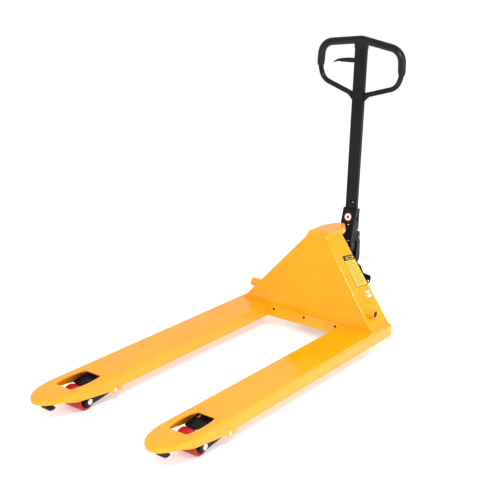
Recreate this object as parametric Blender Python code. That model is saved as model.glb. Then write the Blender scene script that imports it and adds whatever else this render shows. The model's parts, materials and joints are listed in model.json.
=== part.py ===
"""Hand pallet jack: two forks on an A-shaped frame, raised by a steered hand pump.

Frame: metres, +Z up, floor at z = 0, forks towards -Y, drawbar towards +Y, mirrored about x = 0.
It is modelled with the forks a little above their lowest position, at the height FORK_TOP.
"""
import math

import bmesh
import bpy
from mathutils import Matrix, Vector

# --- driving dimensions ------------------------------------------------------------------
FORK_X = 0.2625          # fork centre lines, from the middle
FORK_HALF = 0.080        # half of a fork's width
FORK_TOP = 0.107         # fork top face above the floor
FORK_TIP_Y = -0.838
NOSE_Y = -0.680          # where the nose starts to round off
HEEL_Y = 0.600           # rear end of the forks
SHEET = 0.004            # fork sheet thickness
BEND = 0.008             # outer bend radius along a fork's top edges
FLANGE_Z = 0.057         # lower edge of the fork flanges
WINDOW_Y = (-0.699, -0.5455)
WINDOW_HALF = (0.038, 0.047)

PIVOT_Y, PIVOT_Z = -0.514, 0.052        # roller frame pin
ROLLER_Y, ROLLER_Z = -0.626, 0.0403     # load roller axle
ROLLER_R, ROLLER_HALF = 0.0395, 0.0465
ENTRY_Y, ENTRY_Z = -0.766, 0.0725       # entry roller axle
ENTRY_R, ENTRY_HALF = 0.028, 0.017

PLATE = 0.005                           # frame sheet thickness
FRONT = ((0.450, 0.1063), (0.463, 0.130), (0.520, 0.4275))  # front plate line, (y, z)
REAR_EDGE = ((0.598, 0.1063), (0.636, 0.4275))              # rear edge of the cheeks, (y, z)
SEAT_Y, SEAT_Z = 0.449, 0.106           # the forks' top is a step lower under the frame, from here back
FOOT_HALF, HEAD_HALF = 0.325, 0.0545    # frame half-widths at its foot and head
CROWN_Z = (0.4280, 0.451)

SHAFT_Y, SHAFT_Z, SHAFT_R = 0.5064, 0.168, 0.014            # rocker shaft
BOSS_END = 0.3095
ROD_X = 0.2275                          # push rod centre lines
ROCKER_ARM, ROCKER_LEAN = 0.076, math.radians(9.03)
LIFT_ARM = 0.2297
CRANK, CRANK_LEAN = 0.038, math.radians(19.0)

STEER_Y = 0.670                         # steering axis, also the ram's
WHEEL_Z, WHEEL_R = 0.090, 0.090
WHEEL_X, WHEEL_HALF = 0.060, 0.022
CARRIER_Z = 0.204                       # lift arm pins
CARRIER_Y = SHAFT_Y + LIFT_ARM * math.cos(ROCKER_LEAN)

TILT_Y, TILT_Z = 0.765, 0.345           # drawbar pivot pin
PLUNGER_Y = 0.800
BAR_Y, BAR_HALF_X, BAR_HALF_Y = 0.795, 0.027, 0.011         # drawbar tube
LEVER_X, LEVER_Z = 0.007, 1.136         # control lever pin
GRIP_END_Z = 1.096                      # the grip covers the handle loop above this height
PEDAL_X, PEDAL_Y, PEDAL_Z = 0.036, 0.826, 0.232             # release lever pin
REAR_Y = -FORK_TIP_Y                    # rear end of the release lever pin

GAP = 0.0003                            # between pieces that touch
RUN = 0.0005                            # between pieces that turn on each other
SIDES = {"left": -1, "right": 1}
ROUNDNESS = ((0.0075, 12), (0.0135, 16), (0.025, 20), (0.050, 24), (1.0, 32))   # (radius, sides)


# --- tools -------------------------------------------------------------------------------
def paint(name, colour, roughness, metallic=0.0):
    made = bpy.data.materials.new(name)
    made.use_nodes = True
    shader = made.node_tree.nodes["Principled BSDF"]
    shader.inputs["Base Color"].default_value = (*colour, 1.0)
    shader.inputs["Roughness"].default_value = roughness
    shader.inputs["Metallic"].default_value = metallic
    return made


def loft(rings):
    """A closed skin through rings of points, with a flat cap on the first and the last."""
    mesh = bmesh.new()
    made = [[mesh.verts.new(point) for point in ring] for ring in rings]
    count = len(rings[0])
    for low, high in zip(made, made[1:]):
        for i in range(count):
            j = (i + 1) % count
            mesh.faces.new((low[i], low[j], high[j], high[i]))
    mesh.faces.new(made[0])
    mesh.faces.new(made[-1])
    bmesh.ops.recalc_face_normals(mesh, faces=mesh.faces)
    return mesh


def spread(axis, along, u, v):
    """A point from its place along an axis and its two other coordinates, in X, Y, Z order."""
    return {"X": (along, u, v), "Y": (u, along, v), "Z": (u, v, along)}[axis]


def prism(outline, axis, low, high):
    return loft([[spread(axis, end, u, v) for u, v in outline] for end in (low, high)])


def box(low, high):
    (x0, y0, z0), (x1, y1, z1) = low, high
    return prism([(x0, y0), (x1, y0), (x1, y1), (x0, y1)], "Z", z0, z1)


def facets(radius):
    """How many sides a round piece gets; a pin and its hole always get the same number."""
    return next(sides for limit, sides in ROUNDNESS if radius < limit)


def circle(centre, radius, sides):
    u, v = centre
    turn = [math.tau * i / sides for i in range(sides)]
    return [(u + radius * math.cos(a), v + radius * math.sin(a)) for a in turn]


def rod(axis, low, high, centre, radius):
    return prism(circle(centre, radius, facets(radius)), axis, low, high)


def turned(axis, centre, profile):
    """A solid of revolution; profile is (place along the axis, radius), closed by end caps."""
    sides = facets(max(radius for _, radius in profile))
    return loft([[spread(axis, at, u, v) for u, v in circle(centre, r, sides)] for at, r in profile])


def ring(axis, centre, profile):
    """A ring of revolution: the profile closes on itself and stays clear of the axis."""
    sides = facets(max(radius for _, radius in profile))
    mesh = bmesh.new()
    rows = [[mesh.verts.new(spread(axis, at, u, v)) for u, v in circle(centre, r, sides)]
            for at, r in profile]
    for low, high in zip(rows, rows[1:] + rows[:1]):
        for i in range(sides):
            j = (i + 1) % sides
            mesh.faces.new((low[i], low[j], high[j], high[i]))
    bmesh.ops.recalc_face_normals(mesh, faces=mesh.faces)
    return mesh


def arc(centre, radius, start, end, steps):
    """Points on an arc, angles in degrees."""
    u, v = centre
    for i in range(steps + 1):
        a = math.radians(start + (end - start) * i / steps)
        yield u + radius * math.cos(a), v + radius * math.sin(a)


def link(first, first_r, second, second_r, steps=7):
    """Outline of a tapered link with round ends."""
    du, dv = second[0] - first[0], second[1] - first[1]
    heading = math.degrees(math.atan2(dv, du))
    wrap = math.degrees(math.acos((first_r - second_r) / math.hypot(du, dv)))
    return [*arc(first, first_r, heading + wrap, heading + 360 - wrap, steps),
            *arc(second, second_r, heading - wrap, heading + wrap, steps)]


def slot(centre, radius, half_u, half_v, steps=3):
    """Outline of a rounded rectangle: a circle of that radius stretched both ways."""
    u, v = centre
    corners = ((1, 1, 0), (-1, 1, 90), (-1, -1, 180), (1, -1, 270))
    return [point for su, sv, start in corners
            for point in arc((u + su * half_u, v + sv * half_v), radius, start, start + 90, steps)]


def place(name, mesh, colour=None, pivot=(0, 0, 0)):
    """An object from a mesh in world coordinates, with its origin at the pivot."""
    bmesh.ops.translate(mesh, verts=mesh.verts, vec=-Vector(pivot))
    data = bpy.data.meshes.new(name)
    mesh.to_mesh(data)
    mesh.free()
    made = bpy.data.objects.new(name, data)
    made.location = pivot
    bpy.context.collection.objects.link(made)
    if colour:
        data.materials.append(colour)
        data.shade_smooth()
        data.set_sharp_from_angle(angle=math.radians(35))
    return made


def solid(name, colour, pieces, cuts=(), pivot=(0, 0, 0), hollow=()):
    """One closed body: the first mesh is hollowed, joined to the others, then cut."""
    body = place(name, pieces[0], colour, pivot)
    steps = [("DIFFERENCE", mesh) for mesh in hollow] + [("UNION", mesh) for mesh in pieces[1:]]
    steps += [("DIFFERENCE", mesh) for mesh in cuts]
    for number, (operation, mesh) in enumerate(steps):
        tool = place(f"{name}_tool_{number}", mesh)
        tool.hide_render = True
        tool.display_type = "WIRE"
        boolean = body.modifiers.new(tool.name, "BOOLEAN")
        boolean.operation = operation
        boolean.solver = "EXACT"
        boolean.object = tool
    return body


# --- forks -------------------------------------------------------------------------------
def fork_outline(middle, inset):
    """Plan of a fork, drawn in from its outer edge by the inset."""
    half = FORK_HALF - inset
    reach = NOSE_Y - FORK_TIP_Y - inset
    nose = [(middle - half * math.cos(a), NOSE_Y - reach * math.sin(a))
            for a in (math.pi * i / 18 for i in range(19))]
    return [(middle + half, HEEL_Y), (middle - half, HEEL_Y), *nose]


def fork_skin(middle, inset, bottom, drop):
    """The fork's outer skin, or with an inset its inner skin, rounded along the top edge."""
    radius = BEND - drop
    top = FORK_TOP - drop
    levels = [(bottom, 0.0)] + [
        (top - radius + radius * math.sin(a), radius - radius * math.cos(a))
        for a in (math.radians(30 * i) for i in range(4))]
    return loft([[(x, y, z) for x, y in fork_outline(middle, inset + pull)] for z, pull in levels])


def window_outline(middle):
    """The opening over the load roller: straight ends and bowed sides."""
    front, rear = WINDOW_Y
    narrow, wide = WINDOW_HALF
    bow = [(narrow + (wide - narrow) * math.sin(math.pi * i / 8) ** 0.8, front + (rear - front) * i / 8)
           for i in range(9)]
    return [(middle + x, y) for x, y in bow] + [(middle - x, y) for x, y in reversed(bow)]


# The space below the flanges' lower edge, (y, z): straight, then the pivot ear, then rising to the nose.
BELOW_FORK = [(HEEL_Y + 0.05, 0.0700), (HEEL_Y, 0.0700), (HEEL_Y - 0.003, 0.0630),
              (HEEL_Y - 0.008, 0.0590), (HEEL_Y - 0.015, FLANGE_Z),
              (-0.470, FLANGE_Z), (-0.484, 0.0430), (-0.530, 0.0430),
              (-0.547, 0.0545), (-0.712, 0.0750), (-0.765, 0.0890), (-0.900, 0.0910),
              (-0.900, 0.010), (HEEL_Y + 0.05, 0.010)]


def make_fork(side, sign):
    middle = sign * FORK_X
    lugs = [prism([(ENTRY_Y - 0.016, FORK_TOP - 0.003), *arc((ENTRY_Y, ENTRY_Z), 0.013, 180, 360, 8),
                   (ENTRY_Y + 0.016, FORK_TOP - 0.003)], "X", middle + low, middle + low + 0.005)
            for low in (-0.0245, 0.0195)]
    wide = FORK_HALF + 0.01
    cuts = [
        prism(window_outline(middle), "Z", FORK_TOP - 0.02, FORK_TOP + 0.02),
        box((middle - 0.070, 0.468, 0.09), (middle + 0.070, HEEL_Y + 0.01, 0.13)),
        box((middle - wide, SEAT_Y, SEAT_Z), (middle + wide, HEEL_Y + 0.01, 0.13)),
        rod("X", middle - wide, middle + wide, (PIVOT_Y, PIVOT_Z), 0.008 + GAP),
        rod("X", middle - wide, middle + wide, (PIVOT_Y + 0.012, PIVOT_Z + 0.0115), 0.0025),
        rod("X", middle - 0.03, middle + 0.03, (ENTRY_Y, ENTRY_Z), 0.006 + GAP),
    ]
    solid(f"fork_{side}", ORANGE, [fork_skin(middle, 0.0, 0.02, 0.0), *lugs], cuts,
          hollow=[fork_skin(middle, SHEET, 0.0, SHEET), prism(BELOW_FORK, "X", middle - wide, middle + wide)])
    place(f"frame_pin_{side}", turned("X", (PIVOT_Y, PIVOT_Z), [
        (middle - 0.0815, 0.0065), (middle - 0.0800, 0.008), (middle + 0.0800, 0.008),
        (middle + 0.0815, 0.0065)]), STEEL)


def make_entry_roller(side, sign):
    middle = sign * FORK_X
    centre = (ENTRY_Y, ENTRY_Z)
    place(f"entry_axle_{side}", turned("X", centre, [
        (middle - 0.0335, 0.0085), (middle - 0.0250, 0.0085), (middle - 0.0250, 0.006),
        (middle + 0.0250, 0.006), (middle + 0.0250, 0.0085), (middle + 0.0335, 0.0085)]), STEEL)
    low, high = middle - ENTRY_HALF, middle + ENTRY_HALF
    place(f"entry_roller_{side}", ring("X", centre, [
        (low, 0.0065), (low, ENTRY_R - 0.003), (low + 0.003, ENTRY_R),
        (high - 0.003, ENTRY_R), (high, ENTRY_R - 0.003), (high, 0.0065)]), BLACK_PLASTIC,
        (middle, *centre))


# --- A-frame -----------------------------------------------------------------------------
def frame_half(z):
    """Half-width of the frame at a height."""
    rise = (z - FRONT[0][1]) / (FRONT[2][1] - FRONT[0][1])
    return FOOT_HALF + (HEAD_HALF - FOOT_HALF) * rise


def frame_skin(inset, rear_add, low_add, high_add):
    """The frame's outer skin, or with an inset the space inside it."""
    (rear_y0, rear_z0), (rear_y1, rear_z1) = REAR_EDGE
    rings = []
    for number, (y, z) in enumerate(FRONT):
        level = z - low_add if number == 0 else z + high_add if number == 2 else z
        half = frame_half(level) - inset * 1.295
        rear = rear_y0 + (rear_y1 - rear_y0) * (level - rear_z0) / (rear_z1 - rear_z0) + rear_add
        slope = (FRONT[2][0] - FRONT[1][0]) / (FRONT[2][1] - FRONT[1][1])
        front = y + inset * 1.02 + (slope * high_add if number == 2 else 0.0)
        rings.append([(-half, front, level), (half, front, level), (half, rear, level), (-half, rear, level)])
    return loft(rings)


def make_frame():
    boss_holes = [rod("X", sign * 0.20, sign * 0.35, (SHAFT_Y, SHAFT_Z), 0.018 + GAP)
                  for sign in SIDES.values()]
    solid("frame_shell", ORANGE, [frame_skin(0.0, 0.0, 0.0, 0.0)],
          [frame_skin(PLATE, 0.05, 0.02, 0.02), *boss_holes])
    for side, sign in SIDES.items():
        solid(f"shaft_boss_{side}", ORANGE,
              [rod("X", sign * 0.2465, sign * BOSS_END, (SHAFT_Y, SHAFT_Z), 0.018)],
              [rod("X", sign * 0.24, sign * 0.32, (SHAFT_Y, SHAFT_Z), SHAFT_R + RUN)])


def crown_outline(grow, z):
    """Plan of the crown: straight front and sides, tapering behind to a blunt point."""
    half = [(0.049, 0.527), (0.0495, 0.616), (0.046, 0.650), (0.032, 0.690), (0.014, 0.722)]
    middle = 0.62
    right = [(x + grow * (0.6 + 0.6 * (y > 0.6)), y + grow * (y - middle) / 0.1) for x, y in half]
    left = [(-x, y) for x, y in reversed(right)]
    return [(x, y, z) for x, y in right + left]


def make_crown():
    low, high = CROWN_Z
    solid("crown_plate", ORANGE,
          [loft([crown_outline(0.007, low + GAP), crown_outline(0.0, high - 0.003),
                 crown_outline(-0.003, high)])],
          [loft([crown_outline(0.0025, low - 0.01), crown_outline(-0.005, low + 0.010)])])
    place("ram", turned("Z", (0, STEER_Y), [
        (0.250, 0.0155), (0.252, 0.017), (0.4300, 0.017), (0.4370, 0.013), (0.4380 - GAP, 0.008)]), CHROME)


def make_cross_member():
    low_x, high_x = -(FORK_X - FORK_HALF) + GAP, FORK_X - FORK_HALF - GAP
    profile = [(0.4480, FLANGE_Z), (0.4520, SEAT_Z), (0.5000, SEAT_Z), (0.5000, FLANGE_Z)]
    inner = [(0.4520, FLANGE_Z - 0.01), (0.4560, SEAT_Z - 0.004), (0.4960, SEAT_Z - 0.004),
             (0.4960, FLANGE_Z - 0.01)]
    holes = [rod("Y", 0.44, 0.47, (x, 0.092), 0.004) for x in (-0.155, 0.0, 0.155)]
    solid("cross_member", ORANGE, [prism(profile, "X", low_x, high_x)],
          [prism(inner, "X", low_x - 0.01, high_x + 0.01), *holes])


# --- rocker, push rods and roller frames --------------------------------------------------
ROCKER_PIN = (SHAFT_Y + ROCKER_ARM * math.sin(ROCKER_LEAN), SHAFT_Z - ROCKER_ARM * math.cos(ROCKER_LEAN))
CRANK_PIN = (PIVOT_Y + CRANK * math.sin(CRANK_LEAN), PIVOT_Z + CRANK * math.cos(CRANK_LEAN))


def make_rocker():
    shaft = (SHAFT_Y, SHAFT_Z)
    place("torsion_shaft", turned("X", shaft, [
        (-0.296, 0.012), (-0.294, SHAFT_R), (0.294, SHAFT_R), (0.296, 0.012)]), BLACK_STEEL, (0, *shaft))
    bore = SHAFT_R + GAP
    for side, sign in SIDES.items():
        middle = sign * ROD_X
        plates = [prism(link(shaft, 0.0205, ROCKER_PIN, 0.0105), "X", middle + low, middle + low + 0.005)
                  for low in (-0.0125, 0.0075)]
        hub = rod("X", middle - 0.0125, middle + 0.0125, shaft, 0.0195)
        pin = rod("X", middle - 0.0120, middle + 0.0120, ROCKER_PIN, 0.006)
        solid(f"rocker_arm_{side}", BLACK_STEEL, [plates[0], hub, pin, plates[1]],
              [rod("X", middle - 0.02, middle + 0.02, shaft, bore)], (middle, *shaft))
        knee = (SHAFT_Y + 0.034, SHAFT_Z + 0.052)
        tail = (CARRIER_Y, CARRIER_Z)
        inner, outer = sorted((sign * 0.0565, sign * 0.0645))
        solid(f"lift_arm_{side}", BLACK_STEEL,
              [prism(link(shaft, 0.022, knee, 0.013), "X", inner, outer),
               prism(link(knee, 0.0130, tail, 0.0175), "X", inner, outer)],
              [rod("X", inner - 0.01, outer + 0.01, shaft, bore),
               prism(slot(tail, 0.0096, 0.0056, 0.0014), "X", inner - 0.01, outer + 0.01)], (0, *shaft))


def make_push_rod(side, sign):
    middle = sign * ROD_X
    low, high = middle - 0.006, middle + 0.006
    front, rear = CRANK_PIN, ROCKER_PIN
    bar = [(front[0], front[1] - 0.007), (rear[0], rear[1] - 0.007), (rear[0], rear[1] + 0.007),
           (front[0], front[1] + 0.007)]
    solid(f"push_rod_{side}", BLACK_STEEL,
          [prism(bar, "X", low, high), prism(slot(front, 0.0085, 0.0005, 0.0035), "X", low, high),
           prism(slot(rear, 0.0100, 0.0, 0.0020), "X", low, high)],
          [prism(slot(front, 0.0047, 0.0003, 0.0040), "X", low - 0.01, high + 0.01),
           prism(slot(rear, 0.0067, 0.0, 0.0022), "X", low - 0.01, high + 0.01)], (middle, *rear))


def make_roller_frame(side, sign):
    middle = sign * FORK_X
    pivot, axle = (PIVOT_Y, PIVOT_Z), (ROLLER_Y, ROLLER_Z)
    crank_x = sign * ROD_X
    pieces = [rod("X", middle - 0.0545, middle + 0.0545, pivot, 0.013)]
    pieces += [prism(link(pivot, 0.0165, axle, 0.0200), "X", middle + low, middle + low + 0.006)
               for low in (-0.0545, 0.0485)]
    pieces += [prism(link(pivot, 0.0125, CRANK_PIN, 0.0095), "X", crank_x + low, crank_x + low + 0.005)
               for low in (-0.0125, 0.0075)]
    web = [(pivot[0] - 0.085, 0.0725), (pivot[0] - 0.085, 0.0770), (pivot[0] - 0.046, 0.0870),
           (pivot[0] - 0.020, 0.0900), (pivot[0] + 0.016, 0.0900), (pivot[0] + 0.030, 0.0800),
           (pivot[0] + 0.014, 0.0560), (pivot[0] + 0.008, 0.0580), (pivot[0] + 0.022, 0.0790),
           (pivot[0] + 0.013, 0.0850), (pivot[0] - 0.020, 0.0850), (pivot[0] - 0.044, 0.0825)]
    pieces.append(prism(web, "X", middle - 0.0500, middle + 0.0500))
    cuts = [box((crank_x - 0.0072, pivot[0] - 0.036, 0.0660), (crank_x + 0.0072, pivot[0] + 0.05, 0.1)),
            rod("X", middle - 0.06, middle + 0.06, pivot, 0.008 + RUN),
            rod("X", middle - 0.06, middle + 0.06, axle, 0.009 + GAP),
            rod("X", crank_x - 0.02, crank_x + 0.02, CRANK_PIN, 0.004 + GAP)]
    solid(f"roller_frame_{side}", BLACK_STEEL, pieces, cuts, (middle, *pivot))
    place(f"crank_pin_{side}", rod("X", crank_x - 0.0135, crank_x + 0.0135, CRANK_PIN, 0.004), STEEL,
          (middle, *pivot))
    place(f"roller_axle_{side}", turned("X", axle, [
        (middle - 0.0640, 0.0085), (middle - 0.0620, 0.0115), (middle - 0.0550, 0.0115),
        (middle - 0.0550, 0.009), (middle + 0.0550, 0.009), (middle + 0.0550, 0.0115),
        (middle + 0.0620, 0.0115), (middle + 0.0640, 0.0085)]), STEEL, (middle, *axle))
    low, high = middle - ROLLER_HALF, middle + ROLLER_HALF
    core_r = 0.029
    place(f"roller_core_{side}", ring("X", axle, [
        (low, 0.009 + RUN), (low, 0.016), (low + 0.003, 0.018), (low + 0.003, 0.026), (low + 0.001, core_r),
        (high - 0.001, core_r), (high - 0.003, 0.026), (high - 0.003, 0.018), (high, 0.016),
        (high, 0.009 + RUN)]), BLACK_STEEL, (middle, *axle))
    place(f"roller_tread_{side}", ring("X", axle, [
        (low + 0.001, core_r + GAP), (low + 0.001, ROLLER_R - 0.005), (low + 0.0025, ROLLER_R - 0.0015),
        (low + 0.006, ROLLER_R), (high - 0.006, ROLLER_R), (high - 0.0025, ROLLER_R - 0.0015),
        (high - 0.001, ROLLER_R - 0.005), (high - 0.001, core_r + GAP)]), RED_RUBBER, (middle, *axle))


# --- pump, its carrier and steering wheels ------------------------------------------------
def make_carrier():
    centre = (0, STEER_Y)
    axis = (0, STEER_Y, 0)
    tail = (CARRIER_Y, CARRIER_Z)
    low, high = CARRIER_Z - 0.0100, CARRIER_Z + 0.0080
    plate = [(-0.050, 0.630), (0.050, 0.630), (0.050, CARRIER_Y + 0.014), (-0.050, CARRIER_Y + 0.014)]
    solid("pump_carrier", BLACK_STEEL, [prism(plate, "Z", low, high)],
          [rod("Z", low - 0.01, high + 0.01, centre, 0.0345),
           *(rod("X", sign * 0.030, sign * 0.060, tail, 0.0078 + GAP) for sign in SIDES.values())],
          axis)
    for side, sign in SIDES.items():
        near, far = sign * 0.032, sign * 0.0690
        place(f"carrier_pin_{side}", rod("X", near, far, tail, 0.0078), STEEL, axis)
    place("thrust_bearing", ring("Z", centre, [
        (high + GAP, 0.0345), (high + GAP, 0.047), (high + 0.0035, 0.0485), (high + 0.0070, 0.047),
        (high + 0.0070, 0.0345)]), STEEL, axis)


def make_pump():
    centre = (0, STEER_Y)
    axis = (0, STEER_Y, 0)
    tilt, plunger = (TILT_Y, TILT_Z), (0, PLUNGER_Y)
    foot = box((-0.030, STEER_Y - 0.030, 0.066), (0.030, STEER_Y + 0.030, 0.186))
    column = turned("Z", centre, [
        (0.180, 0.033), (0.2200, 0.033), (0.2200, 0.046), (0.232, 0.049), (0.262, 0.049), (0.285, 0.041),
        (0.375, 0.041), (0.380, 0.036)])
    bridge = prism([(0.690, 0.280), (0.738, 0.280), (0.742, 0.254), (0.820, 0.254), (0.8255, 0.260),
                    (0.8255, 0.2715), (0.785, 0.2715), (0.750, 0.2950), (0.690, 0.300)], "X", -0.026, 0.026)
    lever_lug = prism([(-0.010, 0.258), (-0.010, 0.215), (0.030, 0.2230),
                       *arc((PEDAL_X, PEDAL_Z), 0.0095, 270, 420, 6), (0.022, 0.258)], "Y", 0.8120, PEDAL_Y - RUN)
    shelf = prism([(0.790, 0.2600), (0.812, 0.2600), (0.8200, 0.2715), (0.790, 0.2715)], "X", -0.0395, 0.0395)
    guard = [(0.790, 0.2600), (0.812, 0.2600), (0.8205, 0.2700), (0.8225, 0.290), (0.8195, 0.325),
             (0.8175, 0.358), (0.812, 0.366), (0.800, 0.366), (0.793, 0.352), (0.790, 0.300)]
    guards = [prism(guard, "X", *sorted((sign * 0.0345, sign * 0.0395))) for sign in SIDES.values()]
    barrel = turned("Z", plunger, [(0.196, 0.017), (0.202, 0.0205), (0.2690, 0.0205), (0.2720, 0.0190)])
    lug = prism(link((0.716, 0.300), 0.020, tilt, 0.0175), "X", -0.0255, 0.0255)
    cuts = [box((-0.0175, 0.737, 0.2725), (0.0175, 0.85, 0.40)),
            rod("Z", 0.225, 0.40, centre, 0.017 + RUN),
            rod("X", -0.04, 0.04, (STEER_Y, WHEEL_Z), 0.012 + GAP),
            rod("X", -0.04, 0.04, tilt, 0.009 + GAP),
            rod("Z", 0.2045, 0.30, plunger, 0.0095 + RUN),
            rod("Y", PEDAL_Y - 0.012, PEDAL_Y + 0.01, (PEDAL_X, PEDAL_Z), 0.004 + GAP)]
    solid("pump_body", BLACK_STEEL, [column, foot, bridge, barrel, lug, lever_lug, shelf, *guards],
          cuts, axis)
    place("gland_nut", ring("Z", centre, [
        (0.380 + GAP, 0.017 + RUN), (0.380 + GAP, 0.030), (0.390, 0.030), (0.392, 0.028),
        (0.392, 0.017 + RUN)]), STEEL, axis)
    place("wheel_axle", turned("X", (STEER_Y, WHEEL_Z), [
        (-0.0880, 0.010), (-0.0860, 0.012), (0.0860, 0.012), (0.0880, 0.010)]), STEEL, axis)
    place("drawbar_pin", turned("X", tilt, [
        (-0.0370, 0.0075), (-0.0355, 0.009), (0.0355, 0.009), (0.0370, 0.0075)]), STEEL, axis)


def make_steer_wheel(side, sign):
    hub = (STEER_Y, WHEEL_Z)
    low, high = sign * WHEEL_X - WHEEL_HALF, sign * WHEEL_X + WHEEL_HALF
    rim = WHEEL_R - 0.014
    pivot = (sign * WHEEL_X, *hub)
    place(f"wheel_core_{side}", ring("X", hub, [
        (low, 0.012 + RUN), (low, 0.026), (low + 0.008, 0.030), (low + 0.008, rim - 0.012),
        (low + 0.002, rim), (high - 0.002, rim), (high - 0.008, rim - 0.012), (high - 0.008, 0.030),
        (high, 0.026), (high, 0.012 + RUN)]),
        GREY_IRON, pivot)
    place(f"wheel_tyre_{side}", ring("X", hub, [
        (low, rim + GAP), (low, WHEEL_R - 0.004), (low + 0.004, WHEEL_R),
        (high - 0.004, WHEEL_R), (high, WHEEL_R - 0.004),
        (high, rim + GAP)]), BLACK_RUBBER, pivot)


def make_plunger():
    centre = (0, PLUNGER_Y)
    axis = (0, PLUNGER_Y, 0)
    place("plunger", turned("Z", centre, [(0.236, 0.0080), (0.238, 0.0095), (0.3120, 0.0095)]), CHROME, axis)
    place("spring_cap", turned("Z", centre, [
        (0.3125, 0.0190), (0.3155, 0.0190), (0.3170, 0.0170)]), BLACK_STEEL, axis)
    turns, steps, wire, radius, low, high = 5, 12, 0.0014, 0.0142, 0.2740, 0.3108
    mesh = bmesh.new()
    rows = []
    for i in range(turns * steps + 1):
        a = math.tau * i / steps
        out = Vector((math.cos(a), math.sin(a), 0.0))
        middle = Vector((0, PLUNGER_Y, low + (high - low) * i / (turns * steps))) + out * radius
        rows.append([mesh.verts.new(middle + out * wire * math.cos(b) + Vector((0, 0, wire * math.sin(b))))
                     for b in (math.tau * k / 5 for k in range(5))])
    for first, second in zip(rows, rows[1:]):
        for k in range(5):
            mesh.faces.new((first[k], first[(k + 1) % 5], second[(k + 1) % 5], second[k]))
    mesh.faces.new(rows[0])
    mesh.faces.new(rows[-1])
    bmesh.ops.recalc_face_normals(mesh, faces=mesh.faces)
    place("plunger_spring", mesh, STEEL, (0, PLUNGER_Y, low))


def make_release_lever():
    pivot = (PEDAL_X, PEDAL_Z)
    plate = [(0.000, 0.226), (0.030, 0.2225), (0.050, 0.203), (0.068, 0.180), (0.0800, 0.166), (0.0890, 0.164),
             (0.0965, 0.1720), (0.0985, 0.190), (0.0970, 0.2015), (0.0600, 0.2060), (0.0450, 0.2330),
             (0.0410, 0.2395), (PEDAL_X, 0.2410), (0.000, 0.238)]
    solid("release_lever", BLACK_STEEL, [prism(plate, "Y", PEDAL_Y, PEDAL_Y + 0.006)],
          [rod("Y", PEDAL_Y - 0.01, PEDAL_Y + 0.02, pivot, 0.004 + RUN),
           rod("Y", PEDAL_Y - 0.01, PEDAL_Y + 0.02, (0.088, 0.175), 0.005)], (PEDAL_X, PEDAL_Y, PEDAL_Z))
    place("release_pin", turned("Y", pivot, [
        (PEDAL_Y - 0.0110, 0.004), (PEDAL_Y + 0.0065, 0.004), (PEDAL_Y + 0.0065, 0.0065),
        (REAR_Y - 0.0015, 0.0065), (REAR_Y, 0.0050)]), STEEL, (0, STEER_Y, 0))


# --- drawbar -----------------------------------------------------------------------------
def make_drawbar():
    tilt = (TILT_Y, TILT_Z)
    pivot = (0, *tilt)
    roller = (PLUNGER_Y, 0.3355)
    half, deep = BAR_HALF_X, BAR_HALF_Y
    side_plate = [(0.8105, 0.502), (0.780, 0.502), (0.764, 0.440), (0.748, 0.360), *arc(tilt, 0.019, 170, 270, 6),
                  *arc((0.803, 0.318), 0.020, 270, 350, 6), (0.8235, 0.366), (0.8260, 0.380), (0.8240, 0.394),
                  (0.8085, 0.402)]
    web = prism([(0.7775, 0.502), (0.764, 0.440), (0.753, 0.372), (0.758, 0.370), (0.770, 0.440),
                 (0.7835, 0.502)], "X", -half - 0.003, half + 0.003)
    plates = [prism(side_plate, "X", low, low + 0.005) for low in (-half - 0.0055, half + 0.0005)]
    bolt = (BAR_Y, 0.456)
    solid("drawbar_base", BLACK_STEEL, [web, *plates],
          [rod("X", -0.05, 0.05, tilt, 0.009 + RUN), rod("X", -0.05, 0.05, roller, 0.005 + GAP),
           rod("X", -0.05, 0.05, bolt, 0.004 + GAP)], pivot)
    place("cam_roller", turned("X", roller, [
        (-0.0340, 0.005), (-0.0120, 0.005), (-0.0120, 0.014), (0.0120, 0.014), (0.0120, 0.005),
        (0.0340, 0.005)]), STEEL, pivot)
    outline = slot((0, BAR_Y), 0.004, half - 0.004, deep - 0.004, 3)
    hollow = slot((0, BAR_Y), 0.0015, half - 0.0045, deep - 0.0045, 3)
    solid("drawbar_tube", BLACK_STEEL, [prism(outline, "Z", 0.440, 1.2065)],
          [prism(hollow, "Z", 0.430, 1.190),
           box((-half - 0.01, BAR_Y - 0.0055, LEVER_Z - 0.016), (-half + 0.01, BAR_Y + 0.0055, LEVER_Z + 0.024)),
           rod("Y", BAR_Y - 0.03, BAR_Y + 0.03, (LEVER_X, LEVER_Z), 0.004 + GAP),
           rod("X", -0.05, 0.05, bolt, 0.004 + GAP)], pivot)
    face = half + 0.0055 + GAP
    for side, sign in SIDES.items():
        place(f"base_bolt_{side}", turned("X", bolt, [
            (sign * 0.0235, 0.004), (sign * face, 0.004), (sign * face, 0.0070),
            (sign * (face + 0.0020), 0.0070), (sign * (face + 0.0030), 0.0050)]), BLACK_STEEL, pivot)


def rounded(points, radii, steps=4):
    """A path through the points with its corners turned on arcs."""
    path = [Vector(points[0])]
    for before, corner, after, radius in zip(points, points[1:], points[2:], radii):
        corner = Vector(corner)
        into = (Vector(before) - corner).normalized()
        out = (Vector(after) - corner).normalized()
        opening = into.angle(out)
        centre = corner + (into + out).normalized() * radius / math.sin(opening / 2)
        start = corner + into * radius / math.tan(opening / 2) - centre
        end = corner + out * radius / math.tan(opening / 2) - centre
        turn = start.angle_signed(end)
        for i in range(steps + 1):
            path.append(centre + Matrix.Rotation(-turn * i / steps, 2) @ start)
    return path + [Vector(points[-1])]


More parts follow.
